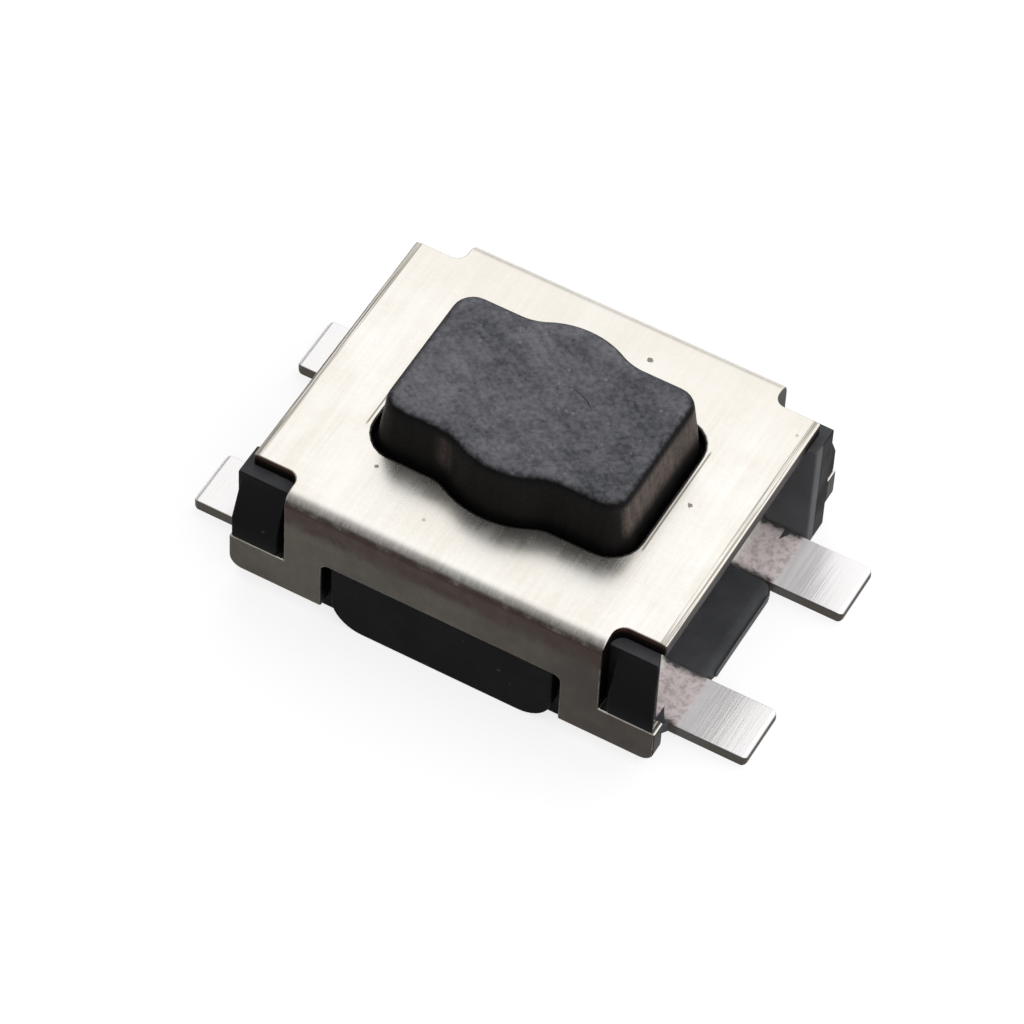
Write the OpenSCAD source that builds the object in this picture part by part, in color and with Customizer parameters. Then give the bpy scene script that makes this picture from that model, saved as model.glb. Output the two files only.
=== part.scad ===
// Surface-mount tactile push button switch, 3 x 4 x 2 mm class.
// A folded metal cover clips over a moulded base. A button reaches out through
// the cover and, when pressed, flattens a snap dome that joins two moulded-in leads.
// Origin: centre of the base's underside, on the circuit board.
// +X runs along the body towards one pair of legs, +Z points up, away from the board.

/* [Body] */
// Length of the moulded base, and of the cover over its feet
base_len = 4; // [3.3:0.05:5]
// Width over the cover's two folded flanges
cover_w = 3.2; // [3:0.05:4]
// Height of the cover's top face above the board
cover_top = 1.4; // [1.16:0.02:1.8]
// Height of the button's top face above the cover
button_out = 0.53; // [0.4:0.01:1.2]

/* [Cover] */
// How far the cover's top plate stays short of the base's end
plate_short = 0.08; // [0.02:0.01:0.12]
// Thickness of the cover's sheet metal
sheet_t = 0.15; // [0.1:0.01:0.18]
// Outer radius of the folds along the two long edges
fold_r = 0.14; // [0.05:0.01:0.2]
// How far each corner notch reaches into the top plate
notch_in = 0.265; // [0.2:0.005:0.35]
// Radius in the inner corner of a notch
notch_r = 0.1; // [0.02:0.01:0.15]
// Length of each foot along the flange
foot_len = 0.88; // [0.7:0.02:1]
// Height of the feet's lower edge above the board
foot_low = 0.17; // [0.05:0.01:0.3]
// Height of the feet's upper edge, which catches under the lugs
foot_high = 0.55; // [0.4:0.01:0.66]
// Radius of the feet's outer lower corners
foot_r = 0.12; // [0.02:0.01:0.18]
// Height of the top of the arch above the board
arch_top = 0.73; // [0.6:0.01:0.9]
// Radius of the arch's upper corners
arch_r = 0.07; // [0.02:0.01:0.12]

/* [Base] */
// Height of the ledge between the two legs at each end
ledge_top = 0.12; // [0.05:0.01:0.3]
// Radius of the ledge's upright corners beside the legs
ledge_r = 0.12; // [0.02:0.01:0.2]
// Wall between the cavity and the slot that each leg lies in
end_wall = 0.22; // [0.15:0.01:0.3]
// Gap between the belly and each foot
belly_gap = 0.08; // [0.03:0.01:0.2]
// Radius of the belly's lower corners
belly_r = 0.3; // [0.05:0.01:0.4]
// How far the belly stays back from the flange's outer face
belly_back = 0.02; // [0:0.01:0.1]
// Length of each snap lug
lug_len = 0.43; // [0.3:0.01:0.52]
// Gap between a lug and the upright edge of its window
lug_gap = 0.07; // [0.03:0.01:0.12]
// How far a lug's end stays short of the base's end
lug_short = 0.02; // [0:0.01:0.1]
// How far the ramp on a lug leans in at the top
lug_lean = 0.2; // [0.1:0.01:0.24]
// Height at which a lug's ramp starts
lug_face_top = 0.8; // [0.7:0.02:1]
// Lean of the two open corners' end faces: run along the length over run across
corner_lean = 0.4; // [0.1:0.05:0.45]
// Plastic kept past a shoulder's end where an open corner's end face meets the slot
corner_rim = 0.036; // [0.03:0.002:0.06]
// Thickness of the floor that the dome sits on
floor_t = 0.5; // [0.46:0.02:0.6]
// Radius of the cavity's upright corners
cavity_r = 0.2; // [0.05:0.01:0.3]
// Running gap between the button's flange and the cavity walls
cavity_gap = 0.05; // [0.02:0.01:0.1]

/* [Leads] */
// Thickness of the leads
lead_t = 0.12; // [0.1:0.005:0.15]
// Width of each leg
leg_w = 0.57; // [0.4:0.01:0.69]
// Distance between the centre lines of the two legs at one end
leg_pitch = 1.71; // [1.42:0.01:1.9]
// How far each leg stands out past the base's end
leg_len = 0.63; // [0.4:0.01:1.2]
// Radius of the legs' outer corners
leg_r = 0.05; // [0.01:0.01:0.15]
// How far the wider shoulder that anchors each lead stays back from the base's end
shoulder_back = 0.2; // [0.16:0.01:0.3]
// How far the shoulder stands out past the legs' outer sides
shoulder_out = 0.08; // [0.04:0.01:0.12]
// Depth of the relief notch in each leg beside its shoulder
relief_in = 0.12; // [0.04:0.01:0.2]
// Width of the mouth of a relief notch
relief_w = 0.065; // [0.03:0.005:0.12]
// Plastic kept round a relief notch at the two open corners
relief_rim = 0.04; // [0.02:0.01:0.06]
// Gap beside the shoulder in the slots at the two open corners
slot_gap = 0.02; // [0.01:0.01:0.05]
// Plastic between the dome's rim and the lead that must not touch it
lead_cover = 0.08; // [0.05:0.01:0.12]
// Width of the arm that carries the centre contact
arm_w = 0.4; // [0.2:0.02:0.5]
// Diameter of the centre contact
contact_d = 0.56; // [0.42:0.02:0.7]

/* [Button] */
// Length of the button
button_len = 2.25; // [1.9:0.05:2.8]
// Width of the button at its ends
button_w = 1.44; // [1.2:0.02:1.74]
// How far the middle of each long side bulges
bulge = 0.145; // [0.08:0.005:0.16]
// Radius of the bulge
bulge_r = 0.75; // [0.5:0.01:0.9]
// Radius of the hollow blend between the bulge and the straight side
blend_r = 0.45; // [0.3:0.01:0.6]
// Radius of the button's upright corners
button_r = 0.2; // [0.1:0.01:0.25]
// Running gap between the button's long sides and its opening in the cover
button_gap = 0.08; // [0.03:0.005:0.1]
// Running gap between the button's ends and its opening in the cover
button_end_gap = 0.115; // [0.03:0.005:0.14]
// How far the hidden flange reaches past the opening along the length
flange_out_x = 0.06; // [0.06:0.01:0.12]
// How far the hidden flange reaches past the opening's bulge
flange_out_y = 0.08; // [0.06:0.01:0.12]
// Thickness of the hidden flange
button_flange_t = 0.2; // [0.12:0.01:0.25]
// Diameter of the nub that presses the dome
nub_d = 0.6; // [0.4:0.02:0.8]

/* [Dome] */
// Travel of the button, and so the height of the dome's hollow
travel = 0.2; // [0.15:0.01:0.24]
// Diameter of the dome over its rim
dome_d = 2.1; // [1.74:0.02:2.54]
// Thickness of the dome's spring metal
dome_t = 0.05; // [0.03:0.005:0.06]
// Gap above and below the button's hidden parts at rest
rest_gap = 0.01; // [0.005:0.005:0.02]

/* [Hidden] */
$fn = 64;

// Overshoot of every cut past the surface that it opens
over = 0.1;

// Heights
button_top = cover_top + button_out;
plate_low = cover_top - sheet_t;
seat_z = floor_t;
dome_top = seat_z + travel + dome_t;
nub_low = dome_top + rest_gap;
button_flange_top = plate_low - rest_gap;
button_flange_low = button_flange_top - button_flange_t;

// Plan of the base and of the cover that clips over it
base_half = base_len / 2;
core_half_w = cover_w / 2 - sheet_t;
lug_out = base_half - lug_short;
lug_in = lug_out - lug_len;
window_in = lug_in - lug_gap;
plate_half = base_half - plate_short;
arch_half = base_half - foot_len;
belly_half = arch_half - belly_gap;

// Plan of the button, its opening, its hidden flange and the cavity
opening_half_len = button_len / 2 + button_end_gap;
opening_bulge_half = button_w / 2 + bulge + button_gap;
button_flange_half_len = opening_half_len + flange_out_x;
button_flange_half_w = opening_bulge_half + flange_out_y;
cavity_half_len = max(button_flange_half_len, dome_d / 2) + cavity_gap;
cavity_half_w = max(button_flange_half_w, dome_d / 2) + cavity_gap;

// Plan of the leads
leg_in = leg_pitch / 2 - leg_w / 2;
leg_out = leg_pitch / 2 + leg_w / 2;
leg_end = base_half + leg_len;
shoulder_half = base_half - shoulder_back;
open_slot_out = leg_out + shoulder_out + slot_gap;
slot_in = cavity_half_len + end_wall;
riser_in = slot_in - lead_t;

// Sphere that the dome's outer face is cut from
dome_rise = travel + dome_t;
dome_r = (pow(dome_d / 2, 2) + pow(dome_rise, 2)) / (2 * dome_rise);

// Rectangle of half sizes hx and hy with round corners
module round_rect(hx, hy, r) {
    union() {
        square([2 * (hx - r), 2 * hy], center = true);
        square([2 * hx, 2 * (hy - r)], center = true);
        for (sx = [-1, 1], sy = [-1, 1])
            translate([sx * (hx - r), sy * (hy - r)]) circle(r);
    }
}

// Outline of the button, grown outwards by g, and by end_g at its two ends: a rounded oblong
// whose long sides swell in the middle, with hollow blends that meet the sides tangentially
module button_outline(g, end_g) {
    half_w = button_w / 2 + g;
    big_r = bulge_r + g;
    small_r = blend_r - g;
    reach = big_r + small_r;
    blend_x = sqrt(2 * reach * bulge - bulge * bulge);
    blend_y = half_w + small_r;
    big_y = half_w + bulge - big_r;
    meet_x = blend_x * big_r / reach;
    meet_y = big_y + (blend_y - big_y) * big_r / reach;
    round_rect(button_len / 2 + end_g, half_w, button_r + g);
    for (s = [0, 1]) mirror([0, s]) {
        intersection() {
            translate([0, big_y]) circle(big_r);
            translate([-button_len / 2, 0]) square([button_len, button_w]);
        }
        difference() {
            polygon([[-blend_x, 0], [blend_x, 0], [blend_x, half_w], [meet_x, meet_y],
                     [0, half_w], [-meet_x, meet_y], [-blend_x, half_w]]);
            for (sx = [-1, 1]) translate([sx * blend_x, blend_y]) circle(small_r);
        }
    }
}

// Extrude a shape drawn in the X-Z plane across the whole width
module across(w) {
    translate([0, w / 2, 0]) rotate([90, 0, 0]) linear_extrude(w) children();
}

// Extrude a shape drawn in the Y-Z plane along the length, from x0 to x1
module along(x0, x1) {
    translate([x0, 0, 0]) rotate([90, 0, 90]) linear_extrude(x1 - x0) children();
}

// Side view of one foot's waste: everything outside its rounded outer corner
module foot_corner() {
    translate([base_half - foot_r, foot_low + foot_r]) difference() {
        translate([0, -foot_r - over]) square([foot_r + over, foot_r + over]);
        circle(foot_r);
    }
}

// Folded sheet before its windows are cut: an upside-down channel
module cover_channel() {
    along(-base_half, base_half) difference() {
        union() {
            translate([-cover_w / 2 + fold_r, foot_low])
                square([cover_w - 2 * fold_r, cover_top - foot_low]);
            translate([-cover_w / 2, foot_low]) square([cover_w, cover_top - fold_r - foot_low]);
            for (s = [-1, 1]) translate([s * (cover_w / 2 - fold_r), cover_top - fold_r]) circle(fold_r);
        }
        translate([-core_half_w, foot_low - over]) square([2 * core_half_w, plate_low - foot_low + over]);
    }
}

// Cut for the notch and window at the +X +Y corner
module corner_window() {
    notch_y = cover_w / 2 - notch_in;
    long = base_half - window_in + over;
    translate([window_in, notch_y, foot_high]) linear_extrude(cover_top) {
        translate([notch_r, 0]) square([long, notch_in + over]);
        translate([0, notch_r]) square([long, notch_in]);
        translate([notch_r, notch_r]) circle(notch_r);
    }
}

// Stamped and folded sheet-metal cover with the button's opening
module cover() {
    color("lightgray") difference() {
        cover_channel();
        for (mx = [0, 1], my = [0, 1]) mirror([mx, 0, 0]) mirror([0, my, 0]) corner_window();
        for (mx = [0, 1]) mirror([mx, 0, 0]) {
            translate([plate_half, -cover_w, foot_high]) cube([base_len, 2 * cover_w, cover_top]);
            across(2 * cover_w) foot_corner();
        }
        across(2 * cover_w) {
            translate([-arch_half, foot_low - over])
                square([2 * arch_half, arch_top - arch_r - foot_low + over]);
            translate([-arch_half + arch_r, foot_low - over])
                square([2 * (arch_half - arch_r), arch_top - foot_low + over]);
            for (s = [-1, 1]) translate([s * (arch_half - arch_r), arch_top - arch_r]) circle(arch_r);
        }
        translate([0, 0, plate_low - over]) linear_extrude(sheet_t + 2 * over)
            button_outline(button_gap, button_end_gap);
    }
}

// Belly that fills the arches in both flanges
module belly() {
    across(cover_w - 2 * belly_back) {
        translate([-belly_half, belly_r]) square([2 * belly_half, arch_top - belly_r]);
        translate([-belly_half + belly_r, 0]) square([2 * (belly_half - belly_r), arch_top]);
        for (s = [-1, 1]) translate([s * (belly_half - belly_r), belly_r]) circle(belly_r);
    }
}

// Snap lug in the window at the +X +Y corner: a ledge below, a ramp above
module lug() {
    face = cover_w / 2;
    along(lug_in, lug_out) polygon([
        [core_half_w - over, foot_high], [face, foot_high], [face, lug_face_top],
        [face - lug_lean, plate_low], [core_half_w - lug_lean - over, plate_low]]);
}

// Open space above the leg at the +X +Y corner, out to half width y_out
module leg_slot(y_out) {
    translate([slot_in, leg_in, lead_t])
        cube([base_half - slot_in + over, y_out - leg_in, plate_low]);
}

// Cut that leans the end face back at the +X -Y corner, from the lug to the slot,
// and leaves the low rim of the base round the leg's shoulder and relief notch
module leaning_corner() {
    y0 = cover_w / 2 + over;
    y1 = open_slot_out;
    x1 = shoulder_half + corner_rim;
    x0 = x1 + (y0 - y1) * corner_lean;
    x2 = shoulder_half + relief_w + relief_rim;
    translate([0, 0, -over]) linear_extrude(cover_top + 2 * over)
        polygon([[x0, -y0], [x1, -y1], [x2, -leg_out], [base_len, -leg_out], [base_len, -y0]]);
}

// Open space above the ledge between the two legs at the +X end
module ledge_gap() {
    translate([slot_in, -leg_in, ledge_top])
        cube([base_half - slot_in + over, 2 * leg_in, plate_low]);
}

// Rounding of the ledge's corner beside the leg at the +X +Y corner
module ledge_corner() {
    translate([base_half - ledge_r, leg_in - ledge_r, -over]) linear_extrude(ledge_top + 2 * over)
        difference() {
            square([ledge_r + over, ledge_r]);
            circle(ledge_r);
        }
}

// Moulded base: cavity, belly, four lugs, the slots that the legs lie in and the ledges between them
module base() {
    color([0.13, 0.13, 0.14]) difference() {
        union() {
            translate([-base_half, -core_half_w, 0]) cube([base_len, 2 * core_half_w, plate_low]);
            belly();
            for (mx = [0, 1], my = [0, 1]) mirror([mx, 0, 0]) mirror([0, my, 0]) lug();
        }
        translate([0, 0, seat_z]) linear_extrude(plate_low)
            round_rect(cavity_half_len, cavity_half_w, cavity_r);
        for (turn = [0, 180]) rotate([0, 0, turn]) {
            leg_slot(leg_out);
            mirror([0, 1, 0]) leg_slot(open_slot_out);
            ledge_gap();
            leaning_corner();
            for (my = [0, 1]) mirror([0, my, 0]) ledge_corner();
        }
        rim_lead_shape();
        centre_lead_shape();
    }
}

// Plan of one lead, on the +Y side: two legs with round outer corners, and
// between them a shoulder that ends in a small relief notch at each leg
module lead_plan() {
    difference() {
        union() {
            translate([0, leg_pitch / 2]) round_rect(leg_end, leg_w / 2, leg_r);
            translate([-shoulder_half, leg_in]) square([2 * shoulder_half, leg_w + shoulder_out]);
        }
        for (mx = [0, 1]) mirror([mx, 0]) polygon([
            [shoulder_half, leg_out - relief_in], [shoulder_half + relief_w, leg_out],
            [shoulder_half + relief_w, leg_out + over], [shoulder_half, leg_out + over]]);
    }
}

// Lead bent up at both ends of the cavity, on the +Y side, with its top face at height top
module bent_lead(top) {
    difference() {
        linear_extrude(top) lead_plan();
        translate([-riser_in, 0, -over]) cube([2 * riser_in, 2 * leg_pitch, top - lead_t + over]);
        for (mx = [0, 1]) mirror([mx, 0, 0])
            translate([slot_in, 0, lead_t]) cube([leg_end, 2 * leg_pitch, top]);
    }
}

// Lead whose strip lies open in the cavity floor, under the dome's rim
module rim_lead_shape() {
    bent_lead(seat_z);
}

// Lead whose strip runs inside the floor, with an arm and a raised contact
module centre_lead_shape() {
    strip_top = seat_z - lead_cover;
    mirror([0, 1, 0]) bent_lead(strip_top);
    translate([-arm_w / 2, -leg_in, strip_top - lead_t]) cube([arm_w, leg_in, lead_t]);
    translate([0, 0, strip_top - lead_t]) cylinder(h = lead_t + lead_cover, d = contact_d);
}

// Lead that the dome rests on, with its two legs on the +Y side
module rim_lead() {
    color("gainsboro") rim_lead_shape();
}

// Lead under the dome's middle, with its two legs on the -Y side
module centre_lead() {
    color("gainsboro") union() centre_lead_shape();
}

// Round snap dome of spring metal, rim down on the cavity floor
module snap_dome() {
    color("silver") translate([0, 0, dome_top - dome_r]) difference() {
        sphere(dome_r);
        sphere(dome_r - dome_t);
        translate([0, 0, -dome_rise]) cube([3 * dome_r, 3 * dome_r, 2 * dome_r], center = true);
    }
}

// Button with its hidden flange under the cover and the nub over the dome
module button() {
    color([0.25, 0.25, 0.27]) union() {
        translate([0, 0, button_flange_low]) linear_extrude(button_top - button_flange_low)
            button_outline(0, 0);
        translate([0, 0, button_flange_low]) linear_extrude(button_flange_t)
            round_rect(button_flange_half_len, button_flange_half_w, cavity_r - cavity_gap);
        translate([0, 0, nub_low]) cylinder(h = button_flange_top - nub_low, d = nub_d);
    }
}

cover();
base();
button();
snap_dome();
rim_lead();
centre_lead();
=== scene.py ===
"""Surface-mount push button switch: the detailed pieces that stand for its CAD nodes, and a plain studio.

Sizes in the settings are metres. The pieces are modelled in millimetres, because Blender's bevel,
merge and normal tools are made for sizes near one unit, and each is brought to metres at its end.
"""

import math
from contextlib import contextmanager

import bmesh
import bpy
from mathutils import Matrix, Vector


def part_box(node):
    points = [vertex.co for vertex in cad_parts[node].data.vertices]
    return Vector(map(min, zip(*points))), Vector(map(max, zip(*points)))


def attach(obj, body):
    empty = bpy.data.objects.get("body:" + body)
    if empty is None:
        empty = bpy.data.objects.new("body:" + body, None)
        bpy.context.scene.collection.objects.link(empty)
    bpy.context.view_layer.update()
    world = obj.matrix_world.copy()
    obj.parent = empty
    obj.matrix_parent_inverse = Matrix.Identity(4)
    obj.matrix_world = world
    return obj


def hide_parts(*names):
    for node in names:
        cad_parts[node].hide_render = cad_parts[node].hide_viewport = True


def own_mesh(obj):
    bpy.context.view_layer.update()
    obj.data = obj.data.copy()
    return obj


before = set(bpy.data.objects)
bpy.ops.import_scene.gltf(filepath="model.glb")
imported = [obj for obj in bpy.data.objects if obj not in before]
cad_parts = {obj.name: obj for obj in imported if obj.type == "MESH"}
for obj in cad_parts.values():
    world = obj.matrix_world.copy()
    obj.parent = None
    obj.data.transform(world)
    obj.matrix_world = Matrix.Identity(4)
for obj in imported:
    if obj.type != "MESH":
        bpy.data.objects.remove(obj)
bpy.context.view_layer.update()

bl_info = {
    "name": "Tactile push button switch",
    "version": (1, 0, 0),
    "blender": (4, 5, 0),
    "location": "3D View > Sidebar > Switch",
    "description": "Builds a small surface-mount push button switch, piece by piece",
    "category": "Add Mesh",
}

MM = 0.001

# Distances for modelling, in millimetres: how far a cutting solid reaches past a piece, how deep a
# joined solid reaches into it, the slack in a test of place, and how close points have to be to merge
# or to count as lying on a cutting plane.
PAST = 1.0
INTO = 0.1
SLACK = 0.01
MERGE = 0.0005
ON_PLANE = 1e-5

# The small dark dents in the cover's plate, in millimetres: place along X and Y, and width.
DENTS = ((0.39, 1.2, 0.05), (1.4, 0.02, 0.045), (-0.99, -0.94, 0.035))


def box_mm(node):
    """Lowest and highest corner of a CAD node, in millimetres."""
    low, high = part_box(node)
    return [round(v / MM, 3) for v in low], [round(v / MM, 3) for v in high]


COVER_LOW, COVER_HIGH = box_mm("cover")
BASE_HIGH = box_mm("base")[1]
BUTTON_LOW, BUTTON_HIGH = box_mm("button")
DOME_LOW, DOME_HIGH = box_mm("snap_dome")
LEAD_HIGH = box_mm("rim_lead")[1]


def length(name, description, default_mm):
    """A size property, shown as a length."""
    return bpy.props.FloatProperty(
        name=name,
        description=description,
        default=default_mm * MM,
        min=0.0,
        unit="LENGTH",
        precision=5,
    )


def angle(name, description, default_degrees):
    """An angle property, from degrees."""
    return bpy.props.FloatProperty(
        name=name, description=description, default=math.radians(default_degrees), subtype="ANGLE"
    )


def colour(name, description, value):
    """A colour property, from a colour of 0 to 255 as the eye sees it on a screen."""
    linear = [((v / 255 + 0.055) / 1.055) ** 2.4 if v > 10 else v / 255 / 12.92 for v in value]
    return bpy.props.FloatVectorProperty(
        name=name,
        description=description,
        default=linear,
        size=3,
        min=0.0,
        max=1.0,
        subtype="COLOR",
    )


class CoverSettings(bpy.types.PropertyGroup):
    """Sizes and colours of the folded cover"""

    sheet: length("Sheet thickness", "Thickness of the cover's metal", 0.15)
    fold: length("Fold radius", "Outer radius of the two long folds", 0.14)
    end_back: length("Plate set-back", "How far the top plate stays short of the base's end", 0.08)
    notch_depth: length("Notch depth", "How far a corner notch reaches into the top plate", 0.265)
    notch_round: length("Notch radius", "Radius in the inner corner of a notch", 0.1)
    window_in: length("Window start", "Distance from the middle to a corner window", 1.48)
    foot_high: length("Foot height", "Height of the feet's upper edge", 0.55)
    foot_round: length("Foot radius", "Radius of the feet's outer lower corners", 0.12)
    arch_half: length("Arch half length", "Half the length of the arch in each flange", 1.12)
    arch_top: length("Arch height", "Height of the top of the arch", 0.73)
    arch_round: length("Arch radius", "Radius of the arch's upper corners", 0.07)
    edge: length("Edge rounding", "Rounding that stamping leaves along the edges", 0.014)
    opening_round: length("Opening rounding", "Rounding along the opening's upper edge", 0.03)
    rolled: length("Rolled band", "Width of the plate's ends that is rolled down", 0.07)
    rolled_drop: length("Rolled drop", "How far the plate's ends are rolled down", 0.014)
    rim_line: length("Rim line", "Distance from the middle to the line beside the opening's ends", 1.288)
    band_start: length("Streaky band", "Distance from the middle to the band at the plate's ends", 1.85)
    fold_drop: length("Shade drop", "How far the brown tint's middle lies below the plate's top", 0.19)
    plate_colour: colour("Plate", "Brushed top of the cover", (255, 253, 248))
    plate_dull: colour("Dull plate", "Duller lines in the brushed top", (234, 228, 217))
    # Painted shade: the flanges are the plate's metal in a darker copy, for the darker reflection that they
    # show.
    flange_shade_colour: colour("Flange", "Folded sides of the cover", (85, 79, 71))
    flange_shade_dull: colour("Dull flange", "Duller patches of the folded sides", (64, 59, 53))
    line_colour: colour("Lines", "Lines beside the opening and along the plate's ends", (126, 115, 101))
    # Painted shade: the brown band along the folds stands for the dark reflection on their curve.
    fold_shade_colour: colour("Fold", "Brown tint along the folds", (56, 42, 38))
    cut_colour: colour("Cut faces", "Upper part of the sheet's cut faces", (72, 50, 43))
    # Painted shade: the nearly black lower part of the cut faces and of the flanges' inner faces.
    cut_shade_dark: colour("Dark cut faces", "Lower part of the sheet's cut faces", (30, 26, 24))
    darker_right_colour: colour("Darker right", "Darker right-hand part of the front flange", (52, 45, 41))


class BaseSettings(bpy.types.PropertyGroup):
    """Sizes and colours of the moulded base"""

    core_back: length("Core set-back", "How far the block stays back from the flange's outer face", 0.15)
    ledge_top: length("Ledge height", "Height of the ledge between the legs at each end", 0.12)
    ledge_round: length("Ledge radius", "Radius of the ledge's corners beside the legs", 0.12)
    end_wall: length("End wall", "Wall between the cavity and the leads", 0.22)
    belly_half: length("Belly half length", "Half the length of the belly between the feet", 1.04)
    belly_top: length("Belly height", "Height of the belly", 0.73)
    belly_back: length("Belly set-back", "How far the belly stays back from the flange", 0.02)
    belly_round: length("Belly radius", "Radius of the belly's lower corners", 0.3)
    lug_in: length("Lug start", "Distance from the middle to a snap lug", 1.55)
    lug_out: length("Lug end", "Distance from the middle to a snap lug's end", 1.98)
    lug_low: length("Lug bottom", "Height of a snap lug's lower end", 0.55)
    lug_lean: length("Lug lean", "How far the ramp on a lug leans in at the top", 0.2)
    lug_face_top: length("Lug face height", "Height at which a lug's ramp starts", 0.8)
    lug_round: length("Lug rounding", "Rounding along a lug's top", 0.05)
    floor: length("Floor thickness", "Thickness of the floor that the dome sits on", 0.5)
    cavity_half_len: length("Cavity half length", "Half the length of the cavity", 1.35)
    cavity_half_width: length("Cavity half width", "Half the width of the cavity", 1.1)
    cavity_round: length("Cavity radius", "Radius of the cavity's corners", 0.2)
    edge: length("Edge rounding", "Rounding of the moulded edges", 0.02)
    plastic_colour: colour("Plastic", "Moulded base", (16, 16, 17))
    plastic_pale: colour("Pale plastic", "Paler cloudy patches of the base", (32, 32, 34))
    # Painted light on upper faces and in the recesses.
    painted_light_grey: colour("Upper faces", "Dull bloom on upper faces and in the recesses", (104, 105, 108))
    # Pale specks of dust, and painted highlight on the edges.
    speck_and_highlight_colour: colour("Worn edges", "Rubbed edges of the base", (104, 108, 118))
    slot_gap: length("Slot gap", "Gap beside a lead's shoulder in an open slot", 0.02)
    lean_start: length("Lean start", "Distance from a shoulder's end to the leaning end face", 0.036)
    lean_notch: length("Lean at the notch", "Distance from a relief notch to the leaning end face", 0.04)
    lean_back: length("Lean back", "How far the leaning end face lies further back beside the lug", 0.184)
    slot_start: length("Recess start", "Distance from the middle to the recesses round the legs", 1.55)
    slot_side: length("Recess side", "Distance from the middle line to the recesses' outer sides", 1.25)


class LeadSettings(bpy.types.PropertyGroup):
    """Sizes and colours of the two leads"""

    thick: length("Thickness", "Thickness of the leads", 0.12)
    leg_in: length("Leg inner side", "Distance from the middle to the legs' inner sides", 0.57)
    leg_out: length("Leg outer side", "Distance from the middle to the legs' outer sides", 1.14)
    leg_round: length("Leg radius", "Radius of the legs' outer corners", 0.05)
    shoulder_half: length("Shoulder half length", "Half the length of the wide shoulder", 1.8)
    shoulder_out: length("Shoulder width", "How far the shoulder stands out past the legs", 0.08)
    notch_depth: length("Notch depth", "Depth of the relief notch beside the shoulder", 0.12)
    notch_width: length("Notch width", "Width of the relief notch's mouth", 0.065)
    riser: length("Riser", "Distance from the middle to the risers' inner faces", 1.45)
    strip_drop: length("Strip drop", "How far the centre lead's strip lies below the cavity's floor", 0.08)
    bend: length("Bend radius", "Inner radius where the legs bend up", 0.05)
    arm: length("Arm width", "Width of the arm that carries the centre contact", 0.4)
    contact: length("Contact diameter", "Diameter of the centre contact", 0.56)
    edge: length("Edge rounding", "Rounding that stamping leaves along the edges", 0.012)
    silver_colour: colour("Silver", "Bright brushed end of a leg", (255, 252, 252))
    silver_dull: colour("Dull silver", "Duller lines in the brushed silver", (240, 236, 239))
    rough_colour: colour("Etched", "Rough part of a leg beside the plastic", (250, 236, 236))
    root_colour: colour("Root", "Smooth part of a leg at the wall", (214, 216, 209))
    etch_start: length("Etch start", "Distance from the middle to the etched part of a leg", 1.6)
    bright_from: length("Bright start", "Distance from the middle to the bright part of a leg", 2.06)
    side_colour: colour("Cut side", "Cut sides of the leads", (72, 66, 60))
    flash_colour: colour("Flash", "Thin plastic flash over a leg's edges", (48, 46, 46))


class ButtonSettings(bpy.types.PropertyGroup):
    """Sizes and colours of the push button"""

    length: length("Length", "Length of the button", 2.25)
    width: length("Width", "Width of the button at its ends", 1.44)
    bulge: length("Bulge", "How far the middle of each long side bulges", 0.145)
    bulge_radius: length("Bulge radius", "Radius of the bulge", 0.75)
    blend_radius: length("Blend radius", "Radius between the bulge and the straight side", 0.45)
    corner: length("Corner radius", "Radius of the button's upright corners", 0.2)
    gap: length("Side gap", "Gap between the button's sides and its opening in the cover", 0.08)
    end_gap: length("End gap", "Gap between the button's ends and its opening in the cover", 0.115)
    top_round: length("Top rounding", "Rounding along the top edge", 0.1)
    flange: length("Flange thickness", "Thickness of the hidden flange", 0.2)
    flange_top: length("Flange height", "Height of the hidden flange's top", 1.24)
    flange_gap: length("Flange gap", "Gap between the hidden flange's corners and the cavity's", 0.05)
    nub: length("Nub diameter", "Diameter of the nub that presses the dome", 0.6)
    edge: length("Edge rounding", "Rounding of the moulded edges", 0.015)
    draft_end: length("End draft", "How far each end widens towards the hidden flange", 0.09)
    draft_side: length("Side draft", "How far each long side widens towards the hidden flange", 0.05)
    # Painted sheen streaks run in the hollow at this distance.
    hollow: length("Rubbed hollow", "Distance from the middle to the rubbed hollow beside the bulge", 0.47)
    # Painted sheen: the top is the same near-black plastic as the sides, lightened where it looks up.
    top_sheen_colour: colour("Top", "Scuffed top of the button", (124, 124, 130))
    top_sheen_dark: colour("Dark top", "Darker cloudy patches of the top", (66, 67, 72))
    side_colour: colour("Sides", "Sides of the button", (18, 17, 17))
    # Painted sheen on the sides, in upright streaks.
    streak_sheen_colour: colour("Streaks", "Upright streaks on the sides", (106, 93, 88))
    fleck_colour: colour("Flecks", "Fine pale flecks on the top", (150, 151, 158))
    scratch_radius: length("Scratch radius", "Radius of the curved scratch on the top", 0.35)
    scratch_place: bpy.props.FloatVectorProperty(
        name="Scratch centre",
        description="Centre of the curved scratch",
        default=(0.147 * MM, -0.14 * MM),
        size=2,
        subtype="XYZ",
        precision=5,
    )


class DomeSettings(bpy.types.PropertyGroup):
    """Sizes and colour of the snap dome"""

    thick: length("Thickness", "Thickness of the spring metal", 0.05)
    metal_colour: colour("Spring metal", "Snap dome", (205, 203, 199))
    dull_colour: colour("Dull metal", "Duller rings in the snap dome", (160, 157, 152))


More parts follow.
